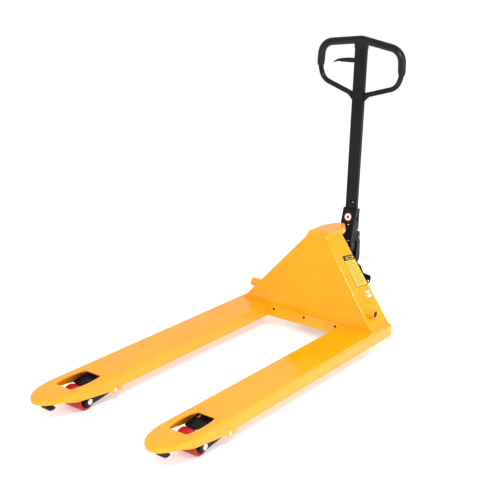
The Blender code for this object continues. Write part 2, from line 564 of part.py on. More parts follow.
def sweep_rows(mesh, path, y, radius, sides):
    """Rings round a path that lies in the plane of the loop."""
    rows = []
    for i, middle in enumerate(path):
        ahead = path[min(i + 1, len(path) - 1)] - path[max(i - 1, 0)]
        side = Vector((ahead.y, -ahead.x)).normalized()
        rows.append([mesh.verts.new((middle.x + side.x * radius * math.cos(a), y + radius * math.sin(a),
                                     middle.y + side.y * radius * math.cos(a)))
                     for a in (math.tau * k / sides for k in range(sides))])
    return rows


def skin_rows(mesh, rows, closed=False):
    for first, second in zip(rows, rows[1:] + rows[:1] if closed else rows[1:]):
        for k in range(len(first)):
            j = (k + 1) % len(first)
            mesh.faces.new((first[k], first[j], second[j], second[k]))


def make_handle():
    pivot = (0, TILT_Y, TILT_Z)
    tube_r, grip_r = 0.011, 0.0165
    half = [(0.0315, 0.9985), (0.178, 1.046), (0.1960, 1.098), (0.1915, 1.200)]
    points = half + [(0.0, 1.229)] + [(-x, z) for x, z in reversed(half)]
    radii = [0.060, 0.10, 0.058, 0.08, 0.058, 0.10, 0.060]
    path = rounded(points, radii)
    mesh = bmesh.new()
    rows = sweep_rows(mesh, path, BAR_Y, tube_r, 12)
    skin_rows(mesh, rows)
    mesh.faces.new(rows[0])
    mesh.faces.new(rows[-1])
    bmesh.ops.recalc_face_normals(mesh, faces=mesh.faces)
    place("handle_loop", mesh, BLACK_STEEL, pivot)
    covered = [point for point in path if point.y > GRIP_END_Z]
    mesh = bmesh.new()
    outer = sweep_rows(mesh, covered, BAR_Y, grip_r, 12)
    inner = sweep_rows(mesh, covered, BAR_Y, tube_r + 2 * GAP, 12)
    skin_rows(mesh, outer + inner[::-1], closed=True)
    bmesh.ops.recalc_face_normals(mesh, faces=mesh.faces)
    place("handle_grip", mesh, BLACK_RUBBER, pivot)


def make_control_lever():
    pin = (LEVER_X, LEVER_Z)
    pivot = (LEVER_X, BAR_Y, LEVER_Z)
    waves = [(-0.034 - 0.060 * i / 16, 1.1305 - 0.002 * i / 16 - 0.0016 * math.sin(math.pi * i / 4) ** 2)
             for i in range(17)]
    finger = [(LEVER_X, LEVER_Z + 0.009), (-0.030, 1.1490), (-0.085, 1.1440), (-0.108, 1.1390), (-0.124, 1.1300),
              (-0.132, 1.1205), (-0.116, 1.1265), (-0.104, 1.1285), *reversed(waves), (LEVER_X, LEVER_Z - 0.009)]
    solid("control_lever", BLACK_PLASTIC,
          [prism(finger, "Y", BAR_Y - 0.0045, BAR_Y + 0.0045),
           rod("Y", BAR_Y - 0.0055, BAR_Y + 0.0055, pin, 0.0090)],
          [rod("Y", BAR_Y - 0.02, BAR_Y + 0.02, pin, 0.004 + RUN)], pivot)
    place("lever_pin", turned("Y", pin, [
        (BAR_Y - 0.0123, 0.0045), (BAR_Y - 0.0113, 0.0055), (BAR_Y - 0.0113, 0.004), (BAR_Y + 0.0113, 0.004),
        (BAR_Y + 0.0113, 0.0055), (BAR_Y + 0.0123, 0.0045)]), BLACK_STEEL, (0, TILT_Y, TILT_Z))
    at = (LEVER_X - 0.015, BAR_Y)
    place("pull_rod", turned("Z", at, [
        (0.3700, 0.0022), (0.3710, 0.0030), (1.1210, 0.0030), (1.1220, 0.0022)]), STEEL, (*at, 0.37))
    place("rod_nut", ring("Z", at, [
        (0.3760, 0.0030 + GAP), (0.3760, 0.0055), (0.3840, 0.0055), (0.3840, 0.0030 + GAP)]), STEEL,
        (*at, 0.37))


# --- the whole jack ----------------------------------------------------------------------
for old in list(bpy.data.objects):
    bpy.data.objects.remove(old, do_unlink=True)

ORANGE = paint("orange_paint", (0.95, 0.42, 0.02), 0.35)
BLACK_STEEL = paint("black_paint", (0.02, 0.02, 0.022), 0.45)
BLACK_PLASTIC = paint("black_plastic", (0.015, 0.015, 0.016), 0.5)
BLACK_RUBBER = paint("black_rubber", (0.02, 0.02, 0.02), 0.7)
RED_RUBBER = paint("red_polyurethane", (0.55, 0.01, 0.02), 0.35)
GREY_IRON = paint("cast_iron", (0.25, 0.25, 0.26), 0.5, 0.6)
STEEL = paint("zinc_steel", (0.6, 0.6, 0.6), 0.3, 1.0)
CHROME = paint("chrome", (0.8, 0.8, 0.8), 0.12, 1.0)

make_frame()
make_crown()
make_cross_member()
make_rocker()
make_carrier()
make_pump()
make_plunger()
make_release_lever()
make_drawbar()
make_handle()
make_control_lever()
for SIDE, SIGN in SIDES.items():
    make_fork(SIDE, SIGN)
    make_entry_roller(SIDE, SIGN)
    make_push_rod(SIDE, SIGN)
    make_roller_frame(SIDE, SIGN)
    make_steer_wheel(SIDE, SIGN)
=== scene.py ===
"""Looks of the hand pallet jack: finishes, smooth sheet metal, moulded parts, labels and small hardware.

Metres, +Z up, floor at z = 0, forks towards -Y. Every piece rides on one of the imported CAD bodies, and a
piece that stands for a CAD node replaces it.
"""
import json
import math

import bmesh
import bpy
from mathutils import Matrix, Vector


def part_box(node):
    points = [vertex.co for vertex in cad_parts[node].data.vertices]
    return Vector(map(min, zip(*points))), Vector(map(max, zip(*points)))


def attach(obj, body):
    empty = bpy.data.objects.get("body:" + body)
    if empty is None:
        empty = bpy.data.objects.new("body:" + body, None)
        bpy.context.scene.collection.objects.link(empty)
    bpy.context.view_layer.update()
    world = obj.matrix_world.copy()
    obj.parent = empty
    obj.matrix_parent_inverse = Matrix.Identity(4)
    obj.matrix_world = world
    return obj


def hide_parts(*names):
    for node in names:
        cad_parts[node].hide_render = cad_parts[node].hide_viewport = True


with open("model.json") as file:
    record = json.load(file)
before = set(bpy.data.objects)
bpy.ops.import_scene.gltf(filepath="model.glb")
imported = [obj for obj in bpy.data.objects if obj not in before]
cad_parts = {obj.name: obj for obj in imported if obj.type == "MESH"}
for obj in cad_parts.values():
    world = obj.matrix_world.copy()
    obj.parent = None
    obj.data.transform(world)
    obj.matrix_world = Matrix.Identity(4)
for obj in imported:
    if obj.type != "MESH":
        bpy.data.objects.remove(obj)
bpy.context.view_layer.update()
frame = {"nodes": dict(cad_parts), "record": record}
NODES = frame["nodes"]

# --- sizes; a pair for a pin or an axle is its (y, z) ---------------------------------------
# They are the CAD model's, but for the front plate's foot, which is 11.5 mm further back, a steeper fold.
FORK_X, FORK_HALF, FORK_TOP = 0.2625, 0.080, 0.107
FORK_TIP_Y, NOSE_Y, HEEL_Y = -0.838, -0.680, 0.600
SHEET, BEND, FLANGE_Z = 0.004, 0.008, 0.057             # fork sheet, its bend, foot of the flanges
SEAT_Y, SEAT_Z = 0.449, 0.106                           # the frame stands on the forks from here back
WINDOW_Y, WINDOW_HALF = (-0.699, -0.5455), (0.038, 0.047)
PIVOT = (-0.514, 0.052)                                 # roller frame pin
STOP_HOLE = (PIVOT[0] + 0.012, PIVOT[1] + 0.0115)       # small hole beside that pin
# the last radius is of a black disc that paints the shade inside the small stop hole
PIVOT_HOLE_R, STOP_HOLE_R, STOP_HOLE_SHADE_R = 0.0085, 0.0026, 0.0024
LOAD_AXLE, LOAD_R, LOAD_HALF = (-0.626, 0.0403), 0.0395, 0.0465
ENTRY_AXLE, ENTRY_R, ENTRY_HALF = (-0.766, 0.0725), 0.028, 0.017
ENTRY_AXLE_HOLE_R = 0.0064
HANGERS_X, HANGER = (-0.0245, 0.0195), 0.005            # left face and thickness of each hanger
PLATE = 0.005                                           # frame plate
FRONT = ((0.4615, 0.1063), (0.463, 0.130), (0.520, 0.4275))  # foot, knee and head of the front plate
REAR_EDGE = ((0.598, 0.1063), (0.636, 0.4275))          # foot and head of the cheeks' rear edge
FOOT_HALF, HEAD_HALF = 0.325, 0.0545                    # half the frame's width at its foot and head
CROSS_HOLES_X, CROSS_HOLES_Z = (-0.155, 0.0, 0.155), 0.092
CROWN_Z, CROWN_MIDDLE_Y = (0.4280, 0.451), 0.62
SHAFT = (0.5064, 0.168)                                 # rocker shaft
STEER_AXLE, WHEEL_R, WHEEL_X, WHEEL_HALF = (0.670, 0.090), 0.090, 0.060, 0.022
DRAWBAR_PIN = (0.765, 0.345)
BAR_Y, BAR_HALF_Y = 0.795, 0.011                        # drawbar tube
LEVER_PIN = (0.007, 1.136)                              # (x, z) of the control lever's pin
TUBE_R, GRIP_R = 0.011, 0.0165                          # handle loop and its grip
SIDES = {"left": -1, "right": 1}
SKIN = 0.0002                                           # thickness that a printed layer adds


# --- finishes -----------------------------------------------------------------------------
class Finish:
    """A Principled material built from nodes in object coordinates, which are metres here."""

    def __init__(self, name, metallic=0.0, **sockets):
        self.made = bpy.data.materials.new(name)
        self.made.use_nodes = True
        self.tree = self.made.node_tree
        self.shader = self.tree.nodes["Principled BSDF"]
        self.shader.inputs["Metallic"].default_value = metallic
        for socket, value in sockets.items():
            self.shader.inputs[socket.replace("_", " ")].default_value = value
        self.coords = self.tree.nodes.new("ShaderNodeTexCoord").outputs["Object"]

    def add(self, kind, links=(), **values):
        """A new node with its sockets set or linked."""
        node = self.tree.nodes.new("ShaderNode" + kind)
        for socket, value in values.items():
            node.inputs[socket.replace("_", " ")].default_value = value
        for socket, source in links:
            self.tree.links.new(source, node.inputs[socket])
        return node

    def noise(self, scale, detail=2.0, stretch=(1.0, 1.0, 1.0)):
        """Noise with so many waves in a metre, finer along an axis with a larger stretch."""
        moved = self.add("Mapping", [("Vector", self.coords)], Scale=stretch)
        return self.add("TexNoise", [("Vector", moved.outputs[0])], Scale=scale, Detail=detail).outputs[0]

    def spread(self, value, low, high, start=0.3, end=0.7):
        """The value's middle range stretched from low to high."""
        return self.add("MapRange", [("Value", value)], From_Min=start, From_Max=end,
                        To_Min=low, To_Max=high).outputs[0]

    def blend(self, factor, first, second):
        """A colour between two, each a plain colour or another node's output."""
        node = self.tree.nodes.new("ShaderNodeMix")
        node.data_type = "RGBA"
        self.tree.links.new(factor, node.inputs[0])
        for socket, colour in ((6, first), (7, second)):
            if isinstance(colour, tuple):
                node.inputs[socket].default_value = (*colour, 1.0)
            else:
                self.tree.links.new(colour, node.inputs[socket])
        return node.outputs[2]

    def colour(self, source):
        self.tree.links.new(source, self.shader.inputs["Base Color"])

    def roughness(self, source):
        self.tree.links.new(source, self.shader.inputs["Roughness"])

    def bumps(self, *layers):
        """Bump layers, each (height, strength, distance), one after the other."""
        normal = None
        for height, strength, distance in layers:
            links = [("Height", height)] + ([("Normal", normal)] if normal else [])
            node = self.add("Bump", links, Strength=strength, Distance=distance)
            normal = node.outputs[0]
        self.tree.links.new(normal, self.shader.inputs["Normal"])


def gloss_paint(name, low, high, shine, peel, scuffs, **sockets):
    """Powder coat: orange-peel waves, a little mottling, and faint rubbed patches.

    low and high are the two colours it wanders between, shine its roughness, peel the strength of the
    waves and scuffs the roughness that rubbing adds.
    """
    made = Finish(name, **sockets)
    mottle = made.noise(6.0, 4.0)
    rubbed = made.noise(38.0, 6.0, (1.0, 0.25, 1.0))
    made.colour(made.blend(made.spread(mottle, 0.0, 1.0), low, high))
    base = made.spread(mottle, shine - 0.03, shine + 0.04)
    worn = made.spread(rubbed, 0.0, scuffs, 0.58, 0.75)
    total = made.add("Math", [(0, base), (1, worn)])
    made.roughness(total.outputs[0])
    made.bumps((made.noise(420.0, 2.0), peel, 0.0004), (made.noise(28.0, 2.0), 0.05, 0.0006))
    return made.made


def grained(name, low, high, shine, grain, depth, **sockets):
    """Rubber, moulded plastic or cast metal: fine grain with a softer cloudiness."""
    made = Finish(name, **sockets)
    cloud = made.noise(24.0, 4.0)
    made.colour(made.blend(made.spread(cloud, 0.0, 1.0), low, high))
    made.roughness(made.spread(cloud, shine - 0.06, shine + 0.08))
    made.bumps((made.noise(grain, 3.0), depth, 0.0005), (made.noise(grain * 0.2, 3.0), depth * 0.6, 0.0006))
    return made.made


def bright_metal(name, low, high, shine, stretch, depth):
    """Plated or drawn metal: long fine lines one way and soft stains."""
    made = Finish(name, metallic=1.0)
    lines = made.noise(260.0, 3.0, stretch)
    stain = made.noise(55.0, 4.0)
    made.colour(made.blend(made.spread(stain, 0.0, 1.0), low, high))
    made.roughness(made.spread(lines, shine - 0.05, shine + 0.08))
    made.bumps((lines, depth, 0.0003))
    return made.made


def printed(name, low, high):
    """Vinyl label stock: nearly flat colour with a faint print grain."""
    made = Finish(name)
    grain = made.noise(900.0, 2.0)
    made.colour(made.blend(made.spread(grain, 0.0, 1.0), low, high))
    made.roughness(made.spread(made.noise(90.0, 3.0), 0.28, 0.40))
    made.bumps((grain, 0.03, 0.0002))
    return made.made


FINISHES = {
    "orange_paint": gloss_paint("orange_paint_fine", (0.93, 0.335, 0.002), (0.97, 0.360, 0.004),
                                0.13, 0.04, 0.08, Specular_IOR_Level=0.40),
    "black_paint": gloss_paint("black_paint_fine", (0.004, 0.004, 0.0045), (0.007, 0.007, 0.0075),
                               0.34, 0.09, 0.12, Specular_IOR_Level=0.16),
    "black_plastic": grained("black_plastic_fine", (0.005, 0.005, 0.006), (0.009, 0.009, 0.010),
                             0.42, 900.0, 0.20, Specular_IOR_Level=0.18),
    "black_rubber": grained("black_rubber_fine", (0.004, 0.004, 0.005), (0.008, 0.008, 0.009),
                            0.28, 700.0, 0.08, Specular_IOR_Level=0.24),
    "red_polyurethane": grained("red_polyurethane_fine", (0.38, 0.003, 0.008), (0.47, 0.006, 0.012),
                                0.32, 500.0, 0.12, Specular_IOR_Level=0.40),
    "cast_iron": grained("cast_iron_fine", (0.16, 0.16, 0.165), (0.24, 0.24, 0.245), 0.50, 320.0, 0.45),
    "zinc_steel": bright_metal("zinc_steel_fine", (0.60, 0.60, 0.61), (0.74, 0.73, 0.70),
                               0.30, (1.0, 6.0, 6.0), 0.06),
    "chrome": bright_metal("chrome_fine", (0.72, 0.72, 0.73), (0.82, 0.82, 0.83),
                           0.12, (1.0, 1.0, 0.1), 0.02),
}
TUBE_BLACK = gloss_paint("tube_black", (0.004, 0.004, 0.0045), (0.007, 0.007, 0.0075),
                         0.18, 0.05, 0.08, Specular_IOR_Level=0.20)
LABEL_YELLOW = printed("label_yellow", (0.66, 0.47, 0.035), (0.70, 0.51, 0.05))
LABEL_BLACK = printed("label_black", (0.012, 0.012, 0.012), (0.02, 0.02, 0.02))
LABEL_WHITE = printed("label_white", (0.80, 0.80, 0.80), (0.86, 0.86, 0.86))
LABEL_RED = printed("label_red", (0.62, 0.03, 0.03), (0.68, 0.04, 0.04))
LABEL_GREY = printed("label_grey", (0.16, 0.12, 0.03), (0.20, 0.15, 0.04))
LABEL_BLUE = printed("label_blue", (0.05, 0.06, 0.24), (0.07, 0.08, 0.30))


# --- mesh tools ---------------------------------------------------------------------------
def put(name, mesh, slot_name, body, stands_for=(), finish=None, sharp=35):
    """An object from a mesh, riding on a body; edges over sharp degrees stay crisp."""
    data = bpy.data.meshes.new(name)
    bmesh.ops.recalc_face_normals(mesh, faces=mesh.faces)
    mesh.to_mesh(data)
    mesh.free()
    data.shade_smooth()
    data.set_sharp_from_angle(angle=math.radians(sharp))
    made = bpy.data.objects.new(name, data)
    bpy.context.scene.collection.objects.link(made)
    data.materials.append(finish or FINISHES[slot_name])
    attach(made, body)
    if stands_for:
        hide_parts(*stands_for)
    return made


def loft(rings, closed=False):
    """A skin through rings of points, with end caps, or closed on itself."""
    mesh = bmesh.new()
    made = [[mesh.verts.new(point) for point in ring] for ring in rings]
    count = len(rings[0])
    pairs = list(zip(made, made[1:])) + ([(made[-1], made[0])] if closed else [])
    for low, high in pairs:
        for i in range(count):
            j = (i + 1) % count
            mesh.faces.new((low[i], low[j], high[j], high[i]))
    if not closed:
        mesh.faces.new(made[0])
        mesh.faces.new(made[-1])
    return mesh


def spread(axis, along, u, v):
    """A point from its place along an axis and its two other coordinates, in order."""
    return {"X": (along, u, v), "Y": (u, along, v), "Z": (u, v, along)}[axis]


def circle(centre, radius, sides):
    u, v = centre
    return [(u + radius * math.cos(math.tau * i / sides), v + radius * math.sin(math.tau * i / sides))
            for i in range(sides)]


def turned(axis, centre, profile, sides=96, closed=False):
    """A solid of revolution from (place along the axis, radius), or a ring when it closes."""
    rings = [[spread(axis, at, u, v) for u, v in circle(centre, r, sides)] for at, r in profile]
    return loft(rings, closed)


def mirrored(profile, low, high):
    """The second half of a turned profile that is the same from both ends."""
    return [(low + high - at, r) for at, r in reversed(profile)]


def prism(outline, axis, low, high):
    return loft([[spread(axis, end, u, v) for u, v in outline] for end in (low, high)])


def fillet(outline, radii, steps=6):
    """The outline with its corners turned on arcs; a radius of 0 keeps a corner."""
    made = []
    count = len(outline)
    for i, radius in enumerate(radii):
        corner = Vector(outline[i])
        into = (Vector(outline[i - 1]) - corner).normalized()
        out = (Vector(outline[(i + 1) % count]) - corner).normalized()
        if radius <= 0.0:
            made.append(tuple(corner))
            continue
        opening = into.angle(out)
        reach = radius / math.tan(opening / 2)
        centre = corner + (into + out).normalized() * radius / math.sin(opening / 2)
        start = corner + into * reach - centre
        turn = start.angle_signed(corner + out * reach - centre)
        made += [tuple(centre + Matrix.Rotation(-turn * k / steps, 2) @ start) for k in range(steps + 1)]
    return made


def curve_through(points, steps):
    """A smooth closed outline through points (Catmull-Rom)."""
    made = []
    count = len(points)
    for i in range(count):
        a, b, c, d = (Vector(points[(i + k) % count]) for k in (-1, 0, 1, 2))
        for k in range(steps):
            t = k / steps
            made.append(tuple(0.5 * ((2 * b) + (c - a) * t + (2 * a - 5 * b + 4 * c - d) * t * t
                                     + (3 * b - a - 3 * c + d) * t ** 3)))
    return made


def carve(made, cuts, bevel):
    """Cuts meshes out of an object, softens its edges, and keeps the result as its own mesh."""
    tools = []
    for mesh in cuts:
        data = bpy.data.meshes.new("tool")
        bmesh.ops.recalc_face_normals(mesh, faces=mesh.faces)
        mesh.to_mesh(data)
        mesh.free()
        tool = bpy.data.objects.new("tool", data)
        bpy.context.scene.collection.objects.link(tool)
        tools.append(tool)
        step = made.modifiers.new("cut", "BOOLEAN")
        step.operation = "DIFFERENCE"
        step.solver = "EXACT"
        step.object = tool
    soften(made, bevel)
    bpy.context.view_layer.update()
    done = bpy.data.meshes.new_from_object(made.evaluated_get(bpy.context.evaluated_depsgraph_get()))
    made.modifiers.clear()
    made.data = done
    for tool in tools:
        bpy.data.objects.remove(tool)


def soften(made, width, angle=30, segments=2):
    """Rounded edges, so that corners catch the light as real ones do."""
    step = made.modifiers.new("soft_edges", "BEVEL")
    step.width = width
    step.segments = segments
    step.limit_method = "ANGLE"
    step.angle_limit = math.radians(angle)
    step.harden_normals = True


# --- CAD nodes: those that stay get a finish and soft edges, round ones are turned again ------
BODY_OF = {node: body for body, nodes in frame["record"]["behaviour"]["bodies"].items() for node in nodes}
SLOT_OF = {entry["node"]: entry["material_slot"] for entry in frame["record"]["subparts"]}
ROUND_NODES = {"X": ["frame_pin", "roller_axle", "entry_axle", "carrier_pin", "crank_pin", "base_bolt",
                     "shaft_boss", "wheel_axle", "drawbar_pin", "cam_roller", "torsion_shaft"],
               "Y": ["lever_pin", "release_pin"],
               "Z": ["ram", "plunger", "spring_cap", "pull_rod", "rod_nut", "gland_nut", "thrust_bearing"]}
SOFT_EDGES = {"cross_member": 0.0006, "rocker_arm_left": 0.0006, "rocker_arm_right": 0.0006,
              "lift_arm_left": 0.0008, "lift_arm_right": 0.0008, "push_rod_left": 0.0008,
              "push_rod_right": 0.0008, "roller_frame_left": 0.0007, "roller_frame_right": 0.0007,
              "pump_carrier": 0.0010, "pump_body": 0.0009, "release_lever": 0.0006,
              "drawbar_base": 0.0006, "drawbar_tube": 0.0004}


def round_profile(node, axis):
    """Centre, outer profile and bore of a turned CAD node, read from its corners."""
    low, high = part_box(node)
    number = "XYZ".index(axis)
    others = [i for i in range(3) if i != number]
    centre = tuple((low[i] + high[i]) / 2 for i in others)
    levels = {}
    for vertex in NODES[node].data.vertices:
        along = round(vertex.co[number], 5)
        reach = math.hypot(vertex.co[others[0]] - centre[0], vertex.co[others[1]] - centre[1])
        levels.setdefault(along, set()).add(round(reach, 5))
    ends = min(levels), max(levels)
    inner = min(levels[ends[0]])
    hollow = len(levels[ends[0]]) > 1 and inner in levels[ends[1]]
    profile = []
    for along in sorted(levels):
        radii = sorted(r for r in levels[along] if not hollow or r > inner)
        if profile and len(radii) > 1 and abs(radii[-1] - profile[-1][1]) < abs(radii[0] - profile[-1][1]):
            radii.reverse()
        profile += [(along, r) for r in radii]
    return centre, profile, inner if hollow else None


def round_off(node, axis):
    """A turned CAD node again, with many more sides."""
    centre, profile, bore = round_profile(node, axis)
    if bore:
        profile = [(profile[0][0], bore), *profile, (profile[-1][0], bore)]
    mesh = turned(axis, centre, profile, 64, closed=bool(bore))
    made = put(f"{node}_turned", mesh, SLOT_OF[node], BODY_OF[node], [node])
    soften(made, 0.0003, 50)


def finish_cad_nodes():
    for name, slot_name in SLOT_OF.items():
        slots = NODES[name].data.materials
        slots.clear()
        slots.append(FINISHES[slot_name])
    for axis, stems in ROUND_NODES.items():
        for name in sorted(NODES):
            if name.removesuffix("_left").removesuffix("_right") in stems:
                round_off(name, axis)
    for name, width in SOFT_EDGES.items():
        soften(NODES[name], width, 40)


# --- forks --------------------------------------------------------------------------------
NOSE_STEPS, WINDOW_STEPS = 72, 24
HEEL_R, WINDOW_R = 0.009, 0.006         # corners of the heel and of the window, seen from above


def fork_plan(middle, inset, pull):
    """A fork from above, inset by its sheet and pulled in by its top bend: half an oval and a heel."""
    half = FORK_HALF - inset - pull
    reach = NOSE_Y - FORK_TIP_Y - inset - pull
    turns = [math.pi * i / NOSE_STEPS for i in range(NOSE_STEPS + 1)]
    nose = [(middle - half * math.cos(a), NOSE_Y - reach * math.sin(a)) for a in turns]
    if inset >= SHEET:
        return [(middle + half, HEEL_Y + 0.02), (middle - half, HEEL_Y + 0.02), *nose]
    right, left = middle + half, middle - half
    heel = fillet([(right, 0.0), (right, HEEL_Y), (left, HEEL_Y), (left, 0.0)], [0.0, HEEL_R, HEEL_R, 0.0], 6)
    return heel[1:-1] + nose


def fork_skin(middle, inset, bottom, drop, steps=7):
    """The solid under a fork's skin, with the bend between its top and its flanges."""
    radius = BEND - drop
    top = FORK_TOP - drop
    levels = [(bottom, 0.0)]
    for i in range(steps + 1):
        a = math.pi / 2 * i / steps
        levels.append((top - radius + radius * math.sin(a), radius - radius * math.cos(a)))
    return loft([[(x, y, z) for x, y in fork_plan(middle, inset, pull)] for z, pull in levels])


def window_plan(middle):
    """The opening over a load roller, with bowed sides."""
    front, rear = WINDOW_Y
    narrow, wide = WINDOW_HALF
    bow = [(narrow + (wide - narrow) * math.sin(math.pi * i / WINDOW_STEPS) ** 0.8,
            front + (rear - front) * i / WINDOW_STEPS) for i in range(WINDOW_STEPS + 1)]
    corners = [(middle + x, y) for x, y in bow] + [(middle - x, y) for x, y in reversed(bow)]
    side = [WINDOW_R] + [0.0] * (WINDOW_STEPS - 1) + [WINDOW_R]
    return fillet(corners, side + side, 5)


# the space under a fork from the side, (y, z): heel, flange, pin ear, rising nose; then its corners
BELOW_FORK = fillet([(0.70, 0.0700), (HEEL_Y, 0.0700), (HEEL_Y, FLANGE_Z), (HEEL_Y - 0.040, FLANGE_Z),
                     (-0.472, FLANGE_Z), (-0.484, 0.0430), (-0.530, 0.0430), (-0.547, 0.0545),
                     (-0.712, 0.0750), (-0.765, 0.0890), (-0.900, 0.0910), (-0.900, -0.02), (0.70, -0.02)],
                    [0, 0, 0.0128, 0, 0.012, 0.012, 0.012, 0.02, 0.04, 0.02, 0, 0, 0])


def make_fork(side, sign):
    """The folded sheet with its openings, and the two hangers of the entry roller."""
    middle = sign * FORK_X
    low, high = middle - FORK_HALF - 0.01, middle + FORK_HALF + 0.01
    shell = put(f"fork_{side}_sheet", fork_skin(middle, 0.0, 0.02, 0.0), "orange_paint", "chassis",
                [f"fork_{side}"])
    behind, above = HEEL_Y + 0.10, FORK_TOP + 0.043
    seat = [(SEAT_Y, SEAT_Z), (behind, SEAT_Z), (behind, above), (SEAT_Y, above)]
    carve(shell, [
        fork_skin(middle, SHEET, 0.0, SHEET, 5),
        prism(window_plan(middle), "Z", FORK_TOP - 0.02, FORK_TOP + 0.02),
        prism(BELOW_FORK, "X", low, high),
        prism(seat, "X", low, high),
        turned("X", PIVOT, [(low, PIVOT_HOLE_R), (high, PIVOT_HOLE_R)], 48),
        turned("X", STOP_HOLE, [(low, STOP_HOLE_R), (high, STOP_HOLE_R)], 24),
    ], 0.0007)
    y, z = ENTRY_AXLE
    hanger = fillet([(y - 0.016, FORK_TOP - 0.003), (y - 0.0145, z - 0.013), (y + 0.0145, z - 0.013),
                     (y + 0.016, FORK_TOP - 0.003)], [0, 0.012, 0.012, 0], 8)
    for number, start in enumerate(HANGERS_X):
        lug = put(f"fork_{side}_hanger_{number}", prism(hanger, "X", middle + start, middle + start + HANGER),
                  "black_paint", "chassis")
        hole = [(middle - 0.05, ENTRY_AXLE_HOLE_R), (middle + 0.05, ENTRY_AXLE_HOLE_R)]
        carve(lug, [turned("X", ENTRY_AXLE, hole, 32)], 0.0006)


# --- A-frame ------------------------------------------------------------------------------
FRAME_BEND, INNER_BEND = 0.0070, 0.0025
CHEEK_CUT, FRONT_CUT = 1.295, 1.02      # how much thicker the leaning plates are when cut level


def frame_section(y, z):
    """The folded plate at one height: front, two rounded bends and two cheeks, 5 mm thick."""
    rise = (z - FRONT[0][1]) / (FRONT[2][1] - FRONT[0][1])
    half = FOOT_HALF + (HEAD_HALF - FOOT_HALF) * rise
    (rear_y0, rear_z0), (rear_y1, rear_z1) = REAR_EDGE
    rear = rear_y0 + (rear_y1 - rear_y0) * (z - rear_z0) / (rear_z1 - rear_z0)
    inset_x, inset_y = PLATE * CHEEK_CUT, PLATE * FRONT_CUT
    outer = [(-half, rear), (-half, y), (half, y), (half, rear)]
    inner = [(half - inset_x, rear), (half - inset_x, y + inset_y), (-half + inset_x, y + inset_y),
             (-half + inset_x, rear)]
    plan = fillet(outer + inner, [0.0, FRAME_BEND, FRAME_BEND, 0.0, 0.0, INNER_BEND, INNER_BEND, 0.0], 6)
    return [(px, py, z) for px, py in plan]


def make_frame():
    """The A-shaped plate; its front line turns at the knee on a soft bend."""
    foot, knee, head = (Vector(point) for point in FRONT)
    reach, steps = 0.010, 6
    first = knee + (foot - knee).normalized() * reach
    second = knee + (head - knee).normalized() * reach
    line = [foot]
    for i in range(steps + 1):
        t = i / steps
        line.append(first * (1 - t) ** 2 + knee * 2 * t * (1 - t) + second * t * t)
    line += [head * t + second * (1 - t) for t in (0.25, 0.5, 0.75, 1.0)]
    shell = put("frame_sheet", loft([frame_section(point.x, point.y) for point in line]), "orange_paint",
                "chassis", ["frame_shell"])
    soften(shell, 0.0009, 50)


# --- wheels and rollers ---------------------------------------------------------------------
TREAD_GAP = 0.0003                      # between a core and the tread or tyre on it


def make_wheels(side, sign):
    """A steering wheel: a dished iron core with a hub, and its tyre."""
    low, high = sign * WHEEL_X - WHEEL_HALF, sign * WHEEL_X + WHEEL_HALF
    bore, rim = 0.0125, WHEEL_R - 0.014
    core = [(low, bore), (low, 0.024), (low + 0.002, 0.026), (low + 0.0075, 0.028), (low + 0.0085, 0.031),
            (low + 0.0090, rim - 0.016), (low + 0.0075, rim - 0.012), (low + 0.0030, rim - 0.003),
            (low + 0.0012, rim)]
    core += mirrored(core, low, high)
    put(f"wheel_{side}_core", turned("X", STEER_AXLE, core, closed=True), "cast_iron",
        f"steer_wheel_{side}", [f"wheel_core_{side}"])
    tyre = [(low, rim + TREAD_GAP), (low, WHEEL_R - 0.005), (low + 0.0012, WHEEL_R - 0.002),
            (low + 0.004, WHEEL_R)]
    tyre += mirrored(tyre, low, high)
    put(f"wheel_{side}_tyre", turned("X", STEER_AXLE, tyre, closed=True), "black_rubber",
        f"steer_wheel_{side}", [f"wheel_tyre_{side}"])


def make_load_roller(side, sign):
    """A load roller: a core with a recessed face, and its red tread."""
    low, high = sign * FORK_X - LOAD_HALF, sign * FORK_X + LOAD_HALF
    bore, core_r = 0.0095, 0.029
    core = [(low, bore), (low, 0.0155), (low + 0.0005, 0.016), (low + 0.003, 0.018), (low + 0.003, 0.026),
            (low + 0.001, core_r)]
    core += mirrored(core, low, high)
    put(f"load_roller_{side}_core", turned("X", LOAD_AXLE, core, closed=True), "black_paint",
        f"load_roller_{side}", [f"roller_core_{side}"])
    tread = [(low + 0.001, core_r + TREAD_GAP), (low + 0.001, LOAD_R - 0.005),
             (low + 0.0022, LOAD_R - 0.0022), (low + 0.004, LOAD_R - 0.0008), (low + 0.007, LOAD_R)]
    tread += mirrored(tread, low, high)
    put(f"load_roller_{side}_tread", turned("X", LOAD_AXLE, tread, closed=True), "red_polyurethane",
        f"load_roller_{side}", [f"roller_tread_{side}"])


def make_entry_roller(side, sign):
    """The small moulded roller under a fork's tip."""
    low, high = sign * FORK_X - ENTRY_HALF, sign * FORK_X + ENTRY_HALF
    bore = 0.0065
    wheel = [(low, bore), (low, 0.012), (low + 0.0010, 0.0128), (low + 0.0010, ENTRY_R - 0.0045),
             (low, ENTRY_R - 0.0035), (low + 0.0008, ENTRY_R - 0.0012), (low + 0.003, ENTRY_R)]
    wheel += mirrored(wheel, low, high)
    put(f"entry_roller_{side}_wheel", turned("X", ENTRY_AXLE, wheel, 72, closed=True), "black_plastic",
        f"entry_roller_{side}", [f"entry_roller_{side}"])


# --- handle ---------------------------------------------------------------------------------
HANDLE = [(0.0315, 0.9985), (0.178, 1.046), (0.1960, 1.098), (0.1915, 1.200)]  # right half, (x, z)
HANDLE_TOP = (0.0, 1.229)
HANDLE_BENDS = [0.060, 0.10, 0.058, 0.08, 0.058, 0.10, 0.060]
PATH_STEP = 0.006                       # between the tube's rings on a straight
GRIP_END_Z = 1.100
GRIP_LIP = 0.0030                       # how far the grip's ends stand off the tube


